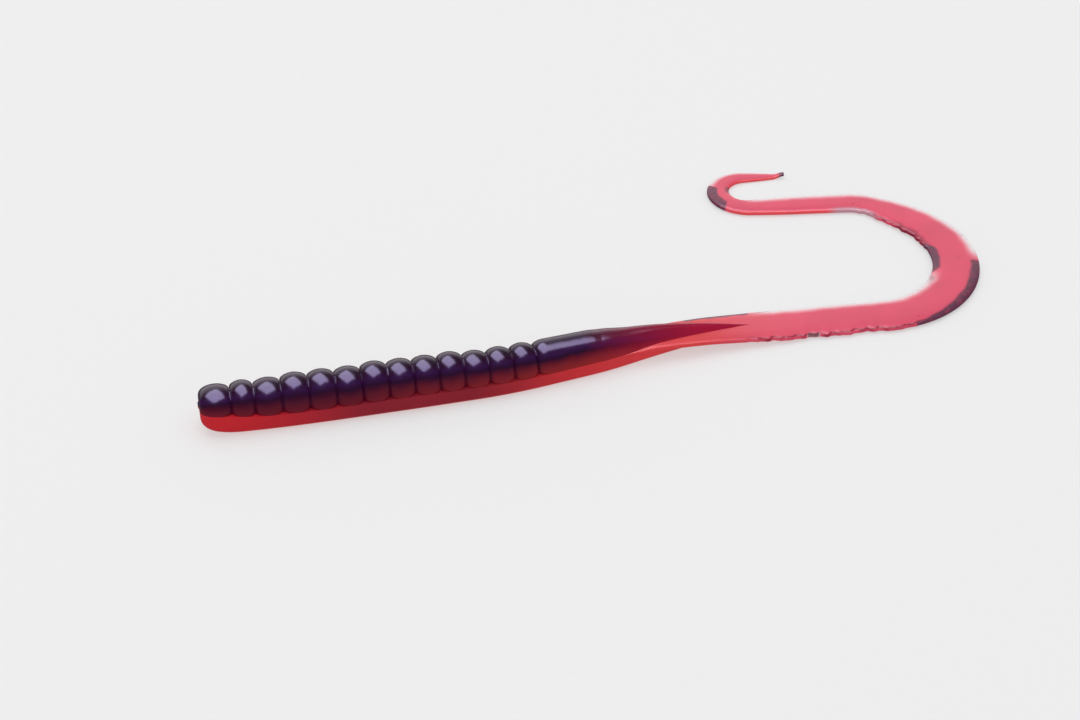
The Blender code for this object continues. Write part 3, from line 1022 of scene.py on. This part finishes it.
def studio_floor(code):
    """Pale seamless paper. Glossy surfaces see it darker, as a floor that falls off into the room."""
    material, tree, output = new_material("seamless_paper")
    place = add(tree, "ShaderNodeTexCoord").outputs["Object"]
    fibre = add(
        tree,
        "ShaderNodeTexNoise",
        [("Vector", place), ("Scale", 1 / (PAPER_FIBRE * MM)), ("Detail", 3.0)],
    )
    shade = linear(code)
    stops = [(0.35, tuple(0.985 * c for c in shade)), (0.65, shade)]
    tone = add(tree, "ShaderNodeValToRGB", [(0, fibre.outputs[0])], stops).outputs[0]
    rays = add(tree, "ShaderNodeLightPath")
    seen = add(
        tree,
        "ShaderNodeMix",
        [(FACTOR, rays.outputs["Is Glossy Ray"]), (FIRST, tone), (SECOND, (0.1, 0.09, 0.09, 1.0))],
        data_type="RGBA",
    )
    glow = add(
        tree,
        "ShaderNodeMapRange",
        [(VALUE, rays.outputs["Is Glossy Ray"]), (TO_MIN, 0.47), (TO_MAX, 0.06)],
    )
    links = [
        ("Base Color", seen.outputs[MIXED]),
        ("Roughness", 0.9),
        ("Specular IOR Level", 0.1),
        ("Emission Color", (1.0, 1.0, 1.0, 1.0)),
        ("Emission Strength", glow.outputs[0]),
    ]
    shader = add(tree, "ShaderNodeBsdfPrincipled", links)
    tree.links.new(shader.outputs[0], output.inputs[0])
    return material


class WORM_OT_studio(bpy.types.Operator):
    """Makes the floor, the soft studio light and the camera"""

    bl_idname = "worm.studio"
    bl_label = "Studio"

    def execute(self, context):
        floor = bpy.data.meshes.new("floor")
        half = FLOOR_HALF_M
        corners = [(-half, -half, 0), (half, -half, 0), (half, half, 0), (-half, half, 0)]
        floor.from_pydata(corners, [], [(0, 1, 2, 3)])
        ground = bpy.data.objects.new("floor", floor)
        context.scene.collection.objects.link(ground)
        floor.materials.append(studio_floor(context.scene.worm_colours.floor))
        studio_world()
        sheet = softbox(
            "sheet",
            place=(-0.02, 0.04, 0.5),
            size=(0.5, 0.66),
            power=8.0,
            tint=(0.92, 0.9, 1.0),
            turn=28.0,
        )
        sheet.visible_diffuse = False
        key = softbox(
            "key",
            place=(-0.1, 0.2, 0.8),
            size=(0.6, 0.6),
            power=1.1,
            tint=(1.0, 0.99, 0.98),
            turn=0.0,
        )
        key.visible_glossy = False
        lens = bpy.data.cameras.new("camera")
        lens.lens = 85.0
        lens.sensor_width = 36.0
        viewer = bpy.data.objects.new("camera", lens)
        context.scene.collection.objects.link(viewer)
        height, azimuth = math.radians(CAMERA_HEIGHT_DEG), math.radians(CAMERA_TURN_DEG)
        forward = Vector(
            (
                -math.sin(azimuth) * math.cos(height),
                math.cos(azimuth) * math.cos(height),
                -math.sin(height),
            )
        )
        aim = Vector(CAMERA_AIM) * MM
        viewer.location = aim - forward * CAMERA_DISTANCE_M
        viewer.rotation_mode = "QUATERNION"
        viewer.rotation_quaternion = forward.to_track_quat("-Z", "Y")
        lens.clip_start, lens.clip_end = 0.01, 20.0
        context.scene.camera = viewer
        context.scene.view_settings.view_transform = "Standard"
        return {"FINISHED"}


class WORM_PT_panel(bpy.types.Panel):
    """Lists the worm's operators and its sizes and colours"""

    bl_idname = "WORM_PT_panel"
    bl_label = "Worm"
    bl_space_type = "VIEW_3D"
    bl_region_type = "UI"
    bl_category = "Worm"

    def draw(self, context):
        for maker in MAKERS:
            self.layout.operator(maker.bl_idname)
        for group in (context.scene.worm_sizes, context.scene.worm_colours):
            for key in group.bl_rna.properties.keys():
                if key not in ("rna_type", "name"):
                    self.layout.prop(group, key)


MAKERS = (WORM_OT_studio, WORM_OT_back, WORM_OT_ridge, WORM_OT_belly, WORM_OT_ribbon)
CLASSES = (WormSizes, WormColours, *MAKERS, WORM_PT_panel)


def register():
    for item in CLASSES:
        bpy.utils.register_class(item)
    bpy.types.Scene.worm_sizes = bpy.props.PointerProperty(type=WormSizes)
    bpy.types.Scene.worm_colours = bpy.props.PointerProperty(type=WormColours)


def unregister():
    del bpy.types.Scene.worm_colours
    del bpy.types.Scene.worm_sizes
    for item in reversed(CLASSES):
        bpy.utils.unregister_class(item)


def main():
    register()
    bpy.ops.worm.studio()
    bpy.ops.worm.back()
    bpy.ops.worm.ridge()
    bpy.ops.worm.belly()
    bpy.ops.worm.ribbon()


if __name__ == "__main__":
    main()
